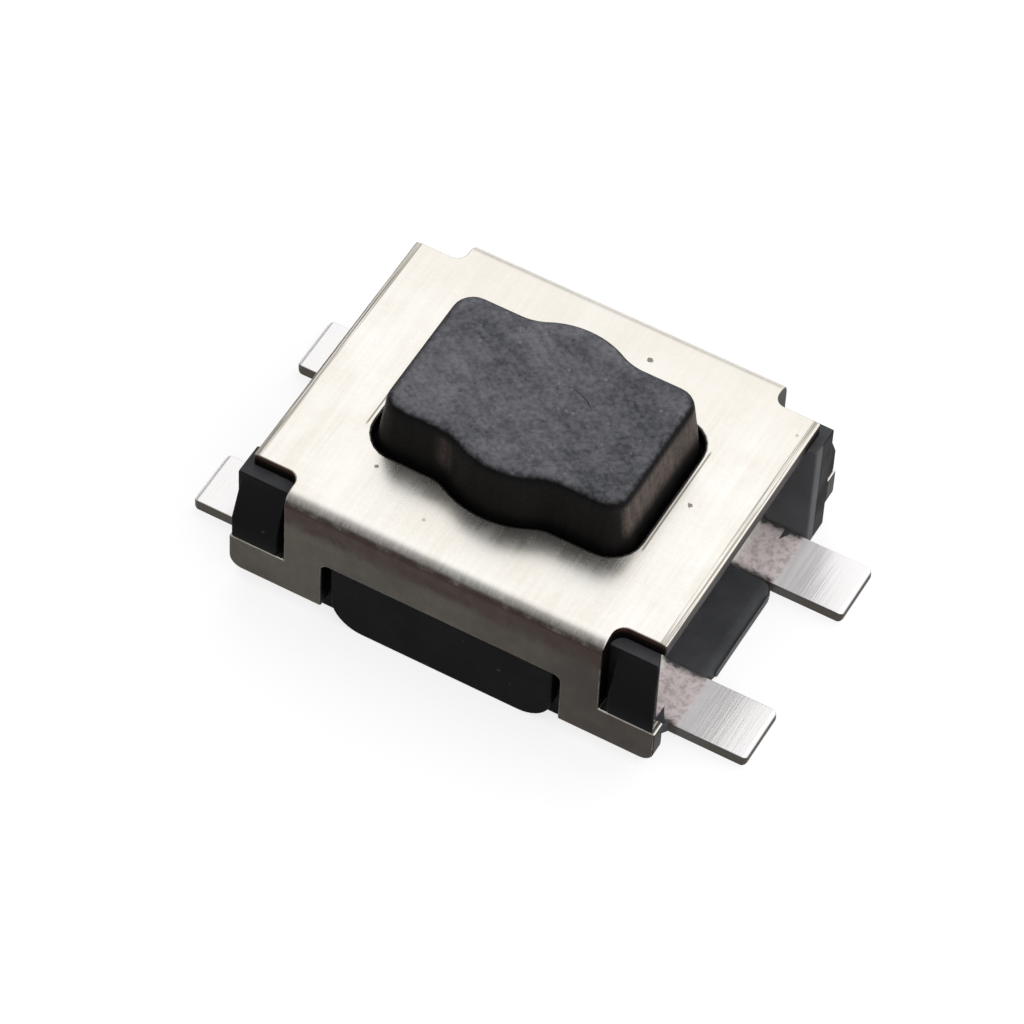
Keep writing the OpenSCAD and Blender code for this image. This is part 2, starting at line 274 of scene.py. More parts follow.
class StageSettings(bpy.types.PropertyGroup):
    """Camera, light and floor"""

    azimuth: angle("Azimuth", "Turn of the camera about the switch", 26.622)
    elevation: angle("Elevation", "Height of the camera above the horizon", 51.902)
    roll: angle("Roll", "Turn of the camera about its own axis", 3.373)
    distance: length("Distance", "From the camera to the point that it looks at", 50.31)
    aim: bpy.props.FloatVectorProperty(
        name="Aim",
        description="Point that the camera looks at",
        default=(-0.249 * MM, 0.0905 * MM, 0.151 * MM),
        size=3,
        subtype="TRANSLATION",
        precision=6,
    )
    lens: bpy.props.FloatProperty(
        name="Focal length",
        description="Focal length of the camera on a 36 mm wide sensor",
        default=210.94,
        unit="CAMERA",
    )
    floor_colour: colour("Floor", "Plain floor", (162, 162, 162))
    floor_glow: bpy.props.FloatProperty(
        name="Floor glow",
        description="How much the floor is lifted towards white where it is seen",
        default=0.76,
        min=0.0,
    )
    sky: bpy.props.FloatProperty(
        name="Sky", description="Strength of the light from above and behind", default=1.1, min=0.0
    )
    front: bpy.props.FloatProperty(
        name="Front", description="Strength of the light from the front", default=0.28, min=0.0
    )


SETTINGS = {
    "switch_cover": CoverSettings,
    "switch_base": BaseSettings,
    "switch_leads": LeadSettings,
    "switch_button": ButtonSettings,
    "switch_dome": DomeSettings,
    "switch_stage": StageSettings,
}


class InMillimetres:
    """Reads the sizes of a settings group in millimetres."""

    def __init__(self, settings):
        self.settings = settings

    def __getattr__(self, name):
        return getattr(self.settings, name) / MM


def activate(piece):
    """Make a piece the only selected object and the active one."""
    bpy.ops.object.select_all(action="DESELECT")
    piece.select_set(True)
    bpy.context.view_layer.objects.active = piece


@contextmanager
def edit(piece, kind="VERT"):
    """Edit mode on one piece, with nothing selected at the start."""
    activate(piece)
    bpy.ops.object.mode_set(mode="EDIT")
    bpy.ops.mesh.select_mode(type=kind)
    bpy.ops.mesh.select_all(action="DESELECT")
    yield
    bpy.ops.object.mode_set(mode="OBJECT")


def pick(piece, test):
    """In edit mode, select the vertices whose place passes a test, with the edges and faces between them."""
    shape = bmesh.from_edit_mesh(piece.data)
    for vertex in shape.verts:
        vertex.select_set(test(vertex.co))
    shape.select_mode = {"VERT"}
    shape.select_flush(True)
    bmesh.update_edit_mesh(piece.data)


def pick_edges(piece, test):
    """In edit mode, select the edges whose two ends pass a test."""
    shape = bmesh.from_edit_mesh(piece.data)
    for each in shape.edges:
        each.select_set(test(each.verts[0].co) and test(each.verts[1].co))
    bmesh.update_edit_mesh(piece.data)


def near(a, b):
    """True if two sizes are the same to a tenth of a micrometre."""
    return abs(a - b) < 1e-4


def add_box(name, low, high):
    """A box between two corners."""
    centre = [(a + b) / 2 for a, b in zip(low, high)]
    size = [b - a for a, b in zip(low, high)]
    bpy.ops.mesh.primitive_cube_add(size=1, location=centre, scale=size)
    box = bpy.context.object
    box.name = name
    bpy.ops.object.transform_apply(location=True, rotation=True, scale=True)
    return box


def add_cylinder(name, radius, low, high):
    """An upright cylinder on the middle axis, between two heights."""
    bpy.ops.mesh.primitive_cylinder_add(
        vertices=48, radius=radius, depth=high - low, location=(0, 0, (low + high) / 2)
    )
    cylinder = bpy.context.object
    cylinder.name = name
    bpy.ops.object.transform_apply(location=True, rotation=True, scale=True)
    return cylinder


def round_edges(piece, test, radius, steps):
    """Round the edges whose two ends pass a test."""
    with edit(piece, "EDGE"):
        pick_edges(piece, test)
        bpy.ops.mesh.bevel(offset=radius, segments=steps, affect="EDGES")


def round_across(piece, half_length, height, radius, steps):
    """Round the two edges that run across a piece at one height, at -X and at +X."""
    for x in (-half_length, half_length):
        round_edges(piece, lambda p: near(p.x, x) and near(p.z, height), radius, steps)


def round_corners(piece, half_length, half_width, radius):
    """Round the four upright edges of a block."""
    for x in (-half_length, half_length):
        for y in (-half_width, half_width):
            round_edges(piece, lambda p: near(p.x, x) and near(p.y, y), radius, 6)


def bisect(plane_place, plane_normal, **options):
    """In edit mode, cut all faces where they cross a plane."""
    bpy.ops.mesh.select_all(action="SELECT")
    bpy.ops.mesh.bisect(plane_co=plane_place, plane_no=plane_normal, threshold=ON_PLANE, **options)


def apply_modifier(piece, modifier):
    """Apply one modifier of a piece."""
    activate(piece)
    bpy.ops.object.modifier_apply(modifier=modifier.name)


def combine(piece, other, operation):
    """Cut another solid from a piece, or join it on, and remove the other solid."""
    modifier = piece.modifiers.new("combine", "BOOLEAN")
    modifier.operation = operation
    modifier.solver = "EXACT"
    modifier.object = other
    apply_modifier(piece, modifier)
    bpy.data.objects.remove(other)


def cut(piece, *others):
    """Cut other solids from a piece."""
    for other in others:
        combine(piece, other, "DIFFERENCE")


def join(piece, *others):
    """Join other solids to a piece."""
    for other in others:
        combine(piece, other, "UNION")


def flipped(piece, axes):
    """Mirror a piece in the planes across the named axes, and turn its faces outwards again."""
    with edit(piece):
        bpy.ops.mesh.select_all(action="SELECT")
        for axis in axes:
            chosen = [axis == "X", axis == "Y", axis == "Z"]
            bpy.ops.transform.mirror(constraint_axis=chosen, center_override=(0, 0, 0))
        bpy.ops.mesh.normals_make_consistent(inside=False)
    return piece


def copied(piece):
    """A copy of a piece, with its own mesh."""
    activate(piece)
    bpy.ops.object.duplicate()
    return bpy.context.object


def four_corners(solid):
    """The solid at +X +Y and a copy for each of the other corners of the switch."""
    return [solid] + [flipped(copied(solid), axes) for axes in ("X", "Y", "XY")]


def clean(piece):
    """Merge doubles and take out edges that lie inside flat faces."""
    with edit(piece):
        bpy.ops.mesh.select_all(action="SELECT")
        bpy.ops.mesh.remove_doubles(threshold=MERGE)
        bpy.ops.mesh.dissolve_limited(angle_limit=math.radians(0.5))


def soften(piece, width, steps=3, sharpness=32, leave=None):
    """Round every sharp edge a little, apart from those whose two ends pass a test."""
    with edit(piece, "EDGE"):
        bpy.ops.mesh.edges_select_sharp(sharpness=math.radians(sharpness))
        shape = bmesh.from_edit_mesh(piece.data)
        for each in shape.edges:
            if leave and leave(each.verts[0].co) and leave(each.verts[1].co):
                each.select_set(False)
        bmesh.update_edit_mesh(piece.data)
        bpy.ops.mesh.bevel(offset=width, segments=steps, affect="EDGES")


def finish_piece(piece, node, body, material):
    """Smooth the shading, bring the piece to metres and let it stand for its CAD node."""
    activate(piece)
    bpy.ops.object.shade_smooth_by_angle(angle=math.radians(40))
    weighted = piece.modifiers.new("flats", "WEIGHTED_NORMAL")
    weighted.keep_sharp = True
    weighted.weight = 100
    apply_modifier(piece, weighted)
    with edit(piece):
        bpy.ops.mesh.select_all(action="SELECT")
        bpy.ops.transform.resize(value=(MM, MM, MM), center_override=(0, 0, 0))
    piece.data.materials.clear()
    piece.data.materials.append(material)
    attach(piece, body)
    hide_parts(node)


def start_line(name, start):
    """A piece that is a single point, to be drawn out into an outline."""
    bpy.ops.mesh.primitive_plane_add(size=1, location=start)
    line = bpy.context.object
    line.name = name
    bpy.ops.object.transform_apply(location=True, rotation=True, scale=True)
    with edit(line):
        bpy.ops.mesh.select_all(action="SELECT")
        bpy.ops.mesh.merge(type="CENTER")
    return line


def button_prism(name, s, grow, end_grow, low, high):
    """Upright solid on the button's outline grown outwards: a rounded oblong whose long sides swell."""
    half_len = s.length / 2 + end_grow
    half_width = s.width / 2 + grow
    corner = s.corner + grow
    big = s.bulge_radius + grow
    small = s.blend_radius - grow
    reach = big + small
    blend_x = math.sqrt(2 * reach * s.bulge - s.bulge**2)
    blend_turn = math.asin(blend_x / reach)
    line = start_line(name, (half_len, 0, low))
    with edit(line):
        bpy.ops.mesh.select_all(action="SELECT")
        extend(0, half_width - corner)
        arc(6, math.pi / 2, (half_len - corner, half_width - corner, low))
        extend(blend_x - half_len + corner, 0)
        arc(8, -blend_turn, (blend_x, half_width + small, low))
        arc(12, blend_turn, (0, half_width + s.bulge - big, low))
    mirror = line.modifiers.new("other quarters", "MIRROR")
    mirror.use_axis = (True, True, False)
    mirror.merge_threshold = MERGE
    apply_modifier(line, mirror)
    with edit(line):
        bpy.ops.mesh.select_all(action="SELECT")
        bpy.ops.mesh.remove_doubles(threshold=MERGE)
        bpy.ops.mesh.edge_face_add()
        bpy.ops.mesh.extrude_region_move(TRANSFORM_OT_translate={"value": (0, 0, high - low)})
        bpy.ops.mesh.select_all(action="SELECT")
        bpy.ops.mesh.normals_make_consistent(inside=False)
    return line


def extend(along_x, along_y):
    """Draw the selected end of a line on by a straight stretch."""
    bpy.ops.mesh.extrude_vertices_move(TRANSFORM_OT_translate={"value": (along_x, along_y, 0)})


def arc(steps, turn, centre):
    """Draw the selected end of a line on round an upright axis, anticlockwise as seen from above."""
    bpy.ops.mesh.spin(steps=steps, angle=turn, center=centre, axis=(0, 0, -1))


def build_cover(cover, button, material):
    """The stamped and folded cover."""
    x, y, top = COVER_HIGH
    low = COVER_LOW[2]
    end = x - cover.end_back
    shell = add_box("cover_shell", (-x, -y, low), (x, y, top))
    round_edges(shell, lambda p: near(p.z, top) and near(abs(p.y), y), cover.fold, 8)
    round_across(shell, x, low, cover.foot_round, 8)
    inner = y - cover.sheet
    cut(shell, add_box("hollow", (-x - PAST, -inner, low - PAST), (x + PAST, inner, top - cover.sheet)))
    for side in (-1, 1):
        near_x, far_x = sorted((side * end, side * (x + PAST)))
        cut(shell, add_box("end", (near_x, -y - PAST, cover.foot_high), (far_x, y + PAST, top + PAST)))

    notch = y - cover.notch_depth
    window = add_box("window", (cover.window_in, notch, cover.foot_high), (x + PAST, y + PAST, top + PAST))
    round_edges(window, lambda p: near(p.x, cover.window_in) and near(p.y, notch), cover.notch_round, 6)
    cut(shell, *four_corners(window))
    half = cover.arch_half
    arch = add_box("arch", (-half, -y - PAST, low - PAST), (half, y + PAST, cover.arch_top))
    round_across(arch, half, cover.arch_top, cover.arch_round, 6)
    cut(shell, arch)
    cut(shell, button_prism("opening", button, button.gap, button.end_gap, top - 2 * cover.sheet, top + PAST))

    with edit(shell):
        for side in (-1, 1):
            bisect((side * (end - cover.rolled), 0, 0), (1, 0, 0))
        pick(shell, lambda p: near(abs(p.x), end) and near(p.z, top))
        bpy.ops.transform.translate(value=(0, 0, -cover.rolled_drop))
    opening_x = button.length / 2 + button.end_gap + SLACK
    opening_y = button.width / 2 + button.bulge + button.gap + SLACK
    round_edges(
        shell,
        lambda p: near(p.z, top) and abs(p.x) < opening_x and abs(p.y) < opening_y,
        cover.opening_round,
        5,
    )
    clean(shell)
    soften(shell, cover.edge)
    finish_piece(shell, "cover", "housing", material)
    return shell


def lead_blank(s, top, name):
    """A bent lead on the +Y side before its edges are softened: two legs, a shoulder and a strip."""
    end = LEAD_HIGH[0]
    slot = s.riser + s.thick
    out = s.leg_out + s.shoulder_out
    blank = add_box(name, (-end, s.leg_in, 0), (end, s.leg_out, top))
    join(blank, add_box("shoulder", (-s.shoulder_half, s.leg_in + INTO, 0), (s.shoulder_half, out, top)))
    cut(blank, add_box("under", (-s.riser, 0, -PAST), (s.riser, out + PAST, top - s.thick)))
    for side in (-1, 1):
        near_x, far_x = sorted((side * slot, side * (end + PAST)))
        cut(blank, add_box("over", (near_x, 0, s.thick), (far_x, out + PAST, top + PAST)))
        cut(blank, relief(s, side, top))
    clean(blank)

    inside, outside = (s.bend, 4), (s.bend + s.thick, 8)
    for side in (-1, 1):
        for x, z, (radius, steps) in (
            (slot, s.thick, inside),
            (s.riser, top - s.thick, inside),
            (s.riser, 0, outside),
            (slot, top, outside),
        ):
            round_edges(blank, lambda p: near(p.x, side * x) and near(p.z, z), radius, steps)

    def at_end(p):
        """True at the corners of the two legs' ends."""
        return near(abs(p.x), end) and (near(p.y, s.leg_in) or near(p.y, s.leg_out))

    round_edges(blank, at_end, s.leg_round, 4)
    return blank


def relief(s, side, top):
    """The cutting solid for the sharp notch in a leg's outer side, beside the shoulder."""
    past = 0.2
    low_y = s.leg_out - s.notch_depth
    high_y = s.leg_out + past
    wide = s.notch_width * (s.notch_depth + past) / s.notch_depth
    notch = add_box("relief", (s.shoulder_half, low_y, -past), (s.shoulder_half + wide, high_y, top + past))
    with edit(notch):
        pick(notch, lambda p: near(p.x, s.shoulder_half + wide) and near(p.y, low_y))
        bpy.ops.transform.translate(value=(-wide, 0, 0))
        bpy.ops.mesh.select_all(action="SELECT")
        bpy.ops.mesh.remove_doubles(threshold=MERGE)
    return flipped(notch, "X" if side < 0 else "")


def lead_blanks(s):
    """The rim lead and the centre lead, before their edges are softened."""
    floor = LEAD_HIGH[2]
    rim = lead_blank(s, floor, "rim_lead_metal")
    strip_top = floor - s.strip_drop
    strip_low = strip_top - s.thick
    centre = flipped(lead_blank(s, strip_top, "centre_lead_metal"), "Y")
    join(centre, add_box("arm", (-s.arm / 2, -s.leg_in, strip_low), (s.arm / 2, 0, strip_top)))
    join(centre, add_cylinder("contact", s.contact / 2, strip_low, floor))
    clean(centre)
    return rim, centre


def build_leads(leads, material):
    """The two leads with their four legs."""
    strip_top = LEAD_HIGH[2] - leads.strip_drop
    bend_low = strip_top - leads.thick - leads.bend

    def in_floor(p):
        """True on the inner edges of the centre lead's strip and arm, which the floor hides."""
        inner = -leads.leg_in - SLACK < p.y < leads.leg_in - SLACK
        return inner and bend_low - SLACK < p.z < strip_top + SLACK

    pieces = lead_blanks(leads)
    for piece, node in zip(pieces, ("rim_lead", "centre_lead")):
        soften(piece, leads.edge, leave=in_floor)
        finish_piece(piece, node, "housing", material)
    return pieces


def corner_lug(base, core_y):
    """The snap lug at +X +Y: upright below, with a ramp that leans in above."""
    top = BASE_HIGH[2]
    face_y = COVER_HIGH[1]
    ramp_y = face_y - base.lug_lean
    inner_y = core_y - INTO - base.lug_lean
    lug = add_box("lug", (base.lug_in, inner_y, base.lug_low), (base.lug_out, face_y, top))
    with edit(lug):
        bisect((0, 0, base.lug_face_top), (0, 0, 1))
        pick(lug, lambda p: near(p.y, face_y) and near(p.z, top))
        bpy.ops.transform.translate(value=(0, -base.lug_lean, 0))
    round_edges(lug, lambda p: near(p.y, ramp_y) and near(p.z, top), base.lug_round, 5)
    return lug


def leaning_cut(base, leads, open_out):
    """Solid that leans the base's end face back at the open corner at +X -Y."""
    x, _, top = BASE_HIGH
    start_x = leads.shoulder_half + base.lean_start
    notch_x = leads.shoulder_half + leads.notch_width + base.lean_notch
    far_y = COVER_HIGH[1] + INTO
    solid = add_box("lean", (start_x, -far_y, -PAST), (x + PAST, -leads.leg_out, top + PAST))
    with edit(solid):
        bisect((0, -open_out, 0), (0, 1, 0))
        pick(solid, lambda p: near(p.x, start_x) and near(p.y, -far_y))
        bpy.ops.transform.translate(value=(base.lean_back, 0, 0))
        pick(solid, lambda p: near(p.x, start_x) and near(p.y, -leads.leg_out))
        bpy.ops.transform.translate(value=(notch_x - start_x, 0, 0))
    return solid


def build_base(base, leads, material):
    """The moulded base: cavity, belly, four lugs and the slots that the legs lie in."""
    x, _, top = BASE_HIGH
    face_y = COVER_HIGH[1]
    core_y = face_y - base.core_back
    block = add_box("base_block", (-x, -core_y, 0), (x, core_y, top))
    belly_y = face_y - base.belly_back
    belly = add_box("belly", (-base.belly_half, -belly_y, 0), (base.belly_half, belly_y, base.belly_top))
    round_across(belly, base.belly_half, 0, base.belly_round, 10)
    join(block, belly, *four_corners(corner_lug(base, core_y)))

    half_len, half_width = base.cavity_half_len, base.cavity_half_width
    cavity = add_box("cavity", (-half_len, -half_width, base.floor), (half_len, half_width, top + PAST))
    round_corners(cavity, half_len, half_width, base.cavity_round)
    cut(block, cavity)

    # The slots reach a little past the leads' outer faces, so that no thin skin is left over the risers.
    skin = 0.001
    slot = half_len + base.end_wall - skin
    out = leads.leg_out + leads.shoulder_out
    open_out = out + base.slot_gap
    cutters = (
        add_box("closed_slot", (slot, leads.leg_in, leads.thick), (x + PAST, leads.leg_out, top + PAST)),
        add_box("open_slot", (slot, -open_out, leads.thick), (x + PAST, -leads.leg_in, top + PAST)),
        add_box("ledge", (slot, -leads.leg_in, base.ledge_top), (x + PAST, leads.leg_in, top + PAST)),
        leaning_cut(base, leads, open_out),
    )
    opposite = [flipped(copied(cutter), "XY") for cutter in cutters]
    cut(block, *cutters, *opposite, *lead_blanks(leads))
    clean(block)
    round_edges(block, lambda p: near(abs(p.x), x) and near(abs(p.y), leads.leg_in), base.ledge_round, 8)

    def beside_notch(p):
        """True in the thin plastic beside a leg's relief notch."""
        inner_y = leads.leg_out - leads.notch_depth - 3 * SLACK
        low = p.z < leads.thick + SLACK
        return low and abs(p.y) > inner_y and abs(p.x) > leads.shoulder_half - 2 * SLACK

    def under_belly(p):
        """True where a lower corner of the belly meets the block."""
        low = p.z < base.belly_round + SLACK
        return low and near(abs(p.y), core_y) and abs(p.x) < base.belly_half + SLACK

    def at_lead(p):
        """True on the pockets that the leads lie in."""
        low = SLACK < p.z < base.floor + SLACK
        return low and abs(p.x) < slot + SLACK and abs(p.y) < open_out + SLACK

    def beside_shoulder(p):
        """True on the narrow strip between a shoulder and the side of its open slot."""
        narrow = out - SLACK < abs(p.y) < open_out + SLACK
        return narrow and (near(abs(p.x), slot) or p.z < leads.thick + SLACK)

    def under_cover(p):
        """True on the walls' upper edges, which the cover hides."""
        return near(p.z, top) and abs(p.x) < slot + SLACK

    def beside_lug(p):
        """True in the upright corner between the block and a lug's outer side."""
        return near(abs(p.x), base.lug_out) and near(abs(p.y), core_y)

    tests = (beside_notch, under_belly, at_lead, beside_shoulder, under_cover, beside_lug)
    soften(block, base.edge, leave=lambda p: any(test(p) for test in tests))
    finish_piece(block, "base", "housing", material)
    return block


def build_button(s, base, material):
    """The push button with its hidden flange and the nub over the dome."""
    half_len, half_width, top = BUTTON_HIGH
    flange_low = s.flange_top - s.flange
    cap = button_prism("button_cap", s, 0, 0, s.flange_top - s.flange / 2, top)
    round_edges(cap, lambda p: near(p.z, top), s.top_round, 6)
    wide = 1 + 2 * s.draft_end / s.length
    deep = 1 + s.draft_side / (s.width / 2 + s.bulge)
    with edit(cap):
        pick(cap, lambda p: p.z < s.flange_top)
        bpy.ops.transform.resize(value=(wide, deep, 1), center_override=(0, 0, 0))
    flange = add_box("flange", (-half_len, -half_width, flange_low), (half_len, half_width, s.flange_top))
    round_corners(flange, half_len, half_width, base.cavity_round - s.flange_gap)
    join(cap, flange, add_cylinder("nub", s.nub / 2, BUTTON_LOW[2], s.flange_top - s.flange / 2))
    clean(cap)
    soften(cap, s.edge, sharpness=50)
    finish_piece(cap, "button", "button", material)
    return cap


def build_dome(s, material):
    """The round snap dome, rim down on the cavity floor."""
    seat = DOME_LOW[2]
    rise = DOME_HIGH[2] - seat
    rim = DOME_HIGH[0]
    radius = (rim**2 + rise**2) / (2 * rise)
    bpy.ops.mesh.primitive_uv_sphere_add(
        segments=96, ring_count=160, radius=radius, location=(0, 0, seat + rise - radius)
    )
    dome = bpy.context.object
    dome.name = "dome_spring"
    bpy.ops.object.transform_apply(location=True, rotation=True, scale=True)
    with edit(dome):
        bisect((0, 0, seat - INTO), (0, 0, 1), clear_inner=True)
    wall = dome.modifiers.new("wall", "SOLIDIFY")
    wall.thickness = s.thick
    wall.offset = -1
    apply_modifier(dome, wall)
    with edit(dome):
        bisect((0, 0, seat), (0, 0, 1), clear_inner=True, use_fill=True)
    finish_piece(dome, "snap_dome", "housing", material)
    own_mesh(dome)
    return dome


class Graph:
    """Adds nodes to a material or a node group and links them."""

    def __init__(self, tree):
        self.tree = tree

    def feed(self, socket, value):
        """Link a socket to another node's output, or set it to a fixed value."""
        if isinstance(value, bpy.types.NodeSocket):
            self.tree.links.new(value, socket)
        elif socket.type == "RGBA" and len(value) == 3:
            socket.default_value = (*value, 1)
        else:
            socket.default_value = value

    def add(self, kind, inputs=(), **options):
        """Add a node, set its options, and feed its inputs by name or number."""
        node = self.tree.nodes.new(kind)
        for name, value in options.items():
            setattr(node, name, value)
        for key, value in dict(inputs).items():
            self.feed(node.inputs[key], value)
        return node

    def math(self, operation, a, b=0.0):
        """One operation on two numbers."""
        return self.add("ShaderNodeMath", {0: a, 1: b}, operation=operation).outputs[0]

    def size(self, value):
        """A number without its sign."""
        return self.math("ABSOLUTE", value)

    def larger(self, a, b):
        """The larger of two numbers."""
        return self.math("MAXIMUM", a, b)

    def plus(self, a, b):
        """Sum of two numbers."""
        return self.math("ADD", a, b)

    def flip(self, value):
        """One less a number."""
        return self.math("SUBTRACT", 1.0, value)

    def times(self, *values):
        """Product of several numbers."""
        result = values[0]
        for value in values[1:]:
            result = self.math("MULTIPLY", result, value)
        return result

    def blend(self, *parts):
        """Weighted sum of several numbers, from pairs of number and weight."""
        result = None
        for value, weight in parts:
            share = self.times(value, weight)
            result = share if result is None else self.plus(result, share)
        return result

    def step(self, value, low, high, start=0.0, end=1.0):
        """Smooth step from start to end, while the value goes from low to high."""
        inputs = {"Value": value, "From Min": low, "From Max": high, "To Min": start, "To Max": end}
        return self.add("ShaderNodeMapRange", inputs, interpolation_type="SMOOTHSTEP").outputs["Result"]

    def peak(self, value, middle, half, soft):
        """One near a middle value, falling to nothing a little past half a width to either side."""
        away = self.size(self.math("SUBTRACT", value, middle))
        return self.step(away, half, half + soft, 1.0, 0.0)

    def mix(self, share, a, b):
        """Colour a where the share is nothing, and colour b where it is one."""
        return self.add("ShaderNodeMix", {0: share, 6: a, 7: b}, data_type="RGBA").outputs[2]

    def split(self, vector):
        """The three numbers of a vector."""
        return self.add("ShaderNodeSeparateXYZ", {0: vector}).outputs

    def vectors(self, operation, *values):
        """One operation on vectors, with both of its results, Vector and Value."""
        return self.add("ShaderNodeVectorMath", dict(enumerate(values)), operation=operation).outputs

    def scaled(self, vector, factors):
        """A vector multiplied number by number."""
        return self.vectors("MULTIPLY", vector, factors)["Vector"]

    def far(self, vector):
        """Length of a vector."""
        return self.vectors("LENGTH", vector)["Value"]

    def turned(self, vector, angle):
        """A vector turned about the upright axis."""
        inputs = {"Vector": vector, "Angle": angle}
        return self.add("ShaderNodeVectorRotate", inputs, rotation_type="Z_AXIS").outputs[0]

    def noise(self, place, scale, detail=2.0, rough=0.5):
        """Cloudy noise between nothing and one."""
        inputs = {"Vector": place, "Scale": scale, "Detail": detail, "Roughness": rough}
        return self.add("ShaderNodeTexNoise", inputs).outputs["Fac"]

    def streaks(self, place, per_mm, contrast=0.18):
        """Fine lines from the shared group, with given turns per millimetre along each axis."""
        return self.group("fine lines", Place=place, Turns=per_mm, Contrast=contrast)["Lines"]

    def group(self, name, **inputs):
        """Place a shared node group and return its outputs."""
        node = self.add("ShaderNodeGroup", node_tree=bpy.data.node_groups[name])
        for key, value in inputs.items():
            self.feed(node.inputs[key], value)
        return node.outputs


def start_group(name, inputs, outputs):
    """A new shared node group: its graph, what comes in and what goes out."""
    tree = bpy.data.node_groups.new(name, "ShaderNodeTree")
    for label, kind, value in inputs:
        socket = tree.interface.new_socket(name=label, in_out="INPUT", socket_type=kind)
        socket.default_value = value
    for label, kind in outputs:
        tree.interface.new_socket(name=label, in_out="OUTPUT", socket_type=kind)
    graph = Graph(tree)
    return graph, graph.add("NodeGroupInput").outputs, graph.add("NodeGroupOutput").inputs


def make_groups():
    """The effects that several materials share. Places are in millimetres."""
    if "fine lines" in bpy.data.node_groups:
        return
    vector, number = "NodeSocketVector", "NodeSocketFloat"

    graph, given, result = start_group(
        "fine lines",
        (("Place", vector, (0, 0, 0)), ("Turns", vector, (30, 1.5, 1.5)), ("Contrast", number, 0.18)),
        (("Lines", number),),
    )
    stretched = graph.scaled(given["Place"], given["Turns"])
    fine = graph.noise(stretched, 1.0, 2.0, 0.5)
    wide = graph.noise(stretched, 0.28, 2.0)
    both = graph.blend((fine, 0.65), (wide, 0.35))
    low = graph.math("SUBTRACT", 0.5, given["Contrast"])
    high = graph.plus(0.5, given["Contrast"])
    graph.feed(result["Lines"], graph.step(both, low, high))

    graph, given, result = start_group(
        "grain",
        (("Place", vector, (0, 0, 0)), ("Fine", number, 30.0), ("Coarse", number, 3.0)),
        (("Grain", number), ("Cloud", number)),
    )
    graph.feed(result["Grain"], graph.noise(given["Place"], given["Fine"], 3.0, 0.6))
    cloud = graph.noise(given["Place"], given["Coarse"], 4.0, 0.55)
    graph.feed(result["Cloud"], graph.step(cloud, 0.34, 0.66))

    graph, given, result = start_group(
        "specks",
        (
            ("Place", vector, (0, 0, 0)),
            ("Cells", number, 4.0),
            ("Size", number, 0.1),
            ("Share", number, 0.2),
        ),
        (("Mask", number),),
    )
    ripples = graph.times(given["Cells"], 5.0)
    wobble = graph.add("ShaderNodeTexNoise", {"Vector": given["Place"], "Scale": ripples}).outputs["Color"]
    sway = graph.times(graph.math("DIVIDE", given["Size"], given["Cells"]), 1.2)
    moved = graph.vectors("MULTIPLY_ADD", wobble, sway, given["Place"])["Vector"]
    cells = graph.add("ShaderNodeTexVoronoi", {"Vector": moved, "Scale": given["Cells"]}).outputs
    dice = graph.add("ShaderNodeSeparateColor", {0: cells["Color"]}).outputs
    chosen = graph.math("LESS_THAN", dice[0], given["Share"])
    size = graph.times(given["Size"], graph.plus(dice[1], 0.4))
    speck = graph.step(cells["Distance"], graph.times(size, 0.55), size, 1.0, 0.0)
    graph.feed(result["Mask"], graph.times(speck, chosen))

    # Patchy mask along the edges: for the base it places painted highlights, for the metal parts bright worn
    # edges and burrs.
    graph, given, result = start_group(
        "edge wear and highlight",
        (("Place", vector, (0, 0, 0)), ("Radius", number, 0.04 * MM), ("Turns", number, 14.0)),
        (("Mask", number),),
    )
    rounded = graph.add("ShaderNodeBevel", {"Radius": given["Radius"]}, samples=6).outputs[0]
    plain = graph.add("ShaderNodeNewGeometry").outputs["Normal"]
    same = graph.vectors("DOT_PRODUCT", rounded, plain)["Value"]
    edge = graph.step(same, 0.8, 0.99, 1.0, 0.0)
    sheeny = graph.step(graph.noise(given["Place"], given["Turns"], 3.0), 0.38, 0.62)
    graph.feed(result["Mask"], graph.times(edge, sheeny))


def start_material(name):
    """A new material: itself, its graph and its shader."""
    material = bpy.data.materials.new(name)
    material.use_nodes = True
    return material, Graph(material.node_tree), material.node_tree.nodes["Principled BSDF"].inputs


def surface(graph):
    """Place on the piece in millimetres and the direction that its surface faces."""
    coordinates = graph.add("ShaderNodeTexCoord").outputs
    return graph.scaled(coordinates["Object"], (1 / MM, 1 / MM, 1 / MM)), coordinates["Normal"]


def bumps(graph, shader, pattern, height):
    """Raise the surface by a pattern, whose value of one stands for a height in metres."""
    bump = graph.add("ShaderNodeBump", {"Height": pattern, "Strength": 1.0, "Distance": height})
    graph.feed(shader["Normal"], bump.outputs["Normal"])


def round_mark(graph, place, centre, size):
    """One in a small round mark on a piece, with a wobbly edge."""
    away = graph.far(graph.vectors("SUBTRACT", place, centre)["Vector"])
    wobble = graph.blend((graph.noise(place, 40.0), size * 0.8), (1.0, -size * 0.4))
    return graph.step(graph.plus(away, wobble), size * 0.4, size * 0.6, 1.0, 0.0)


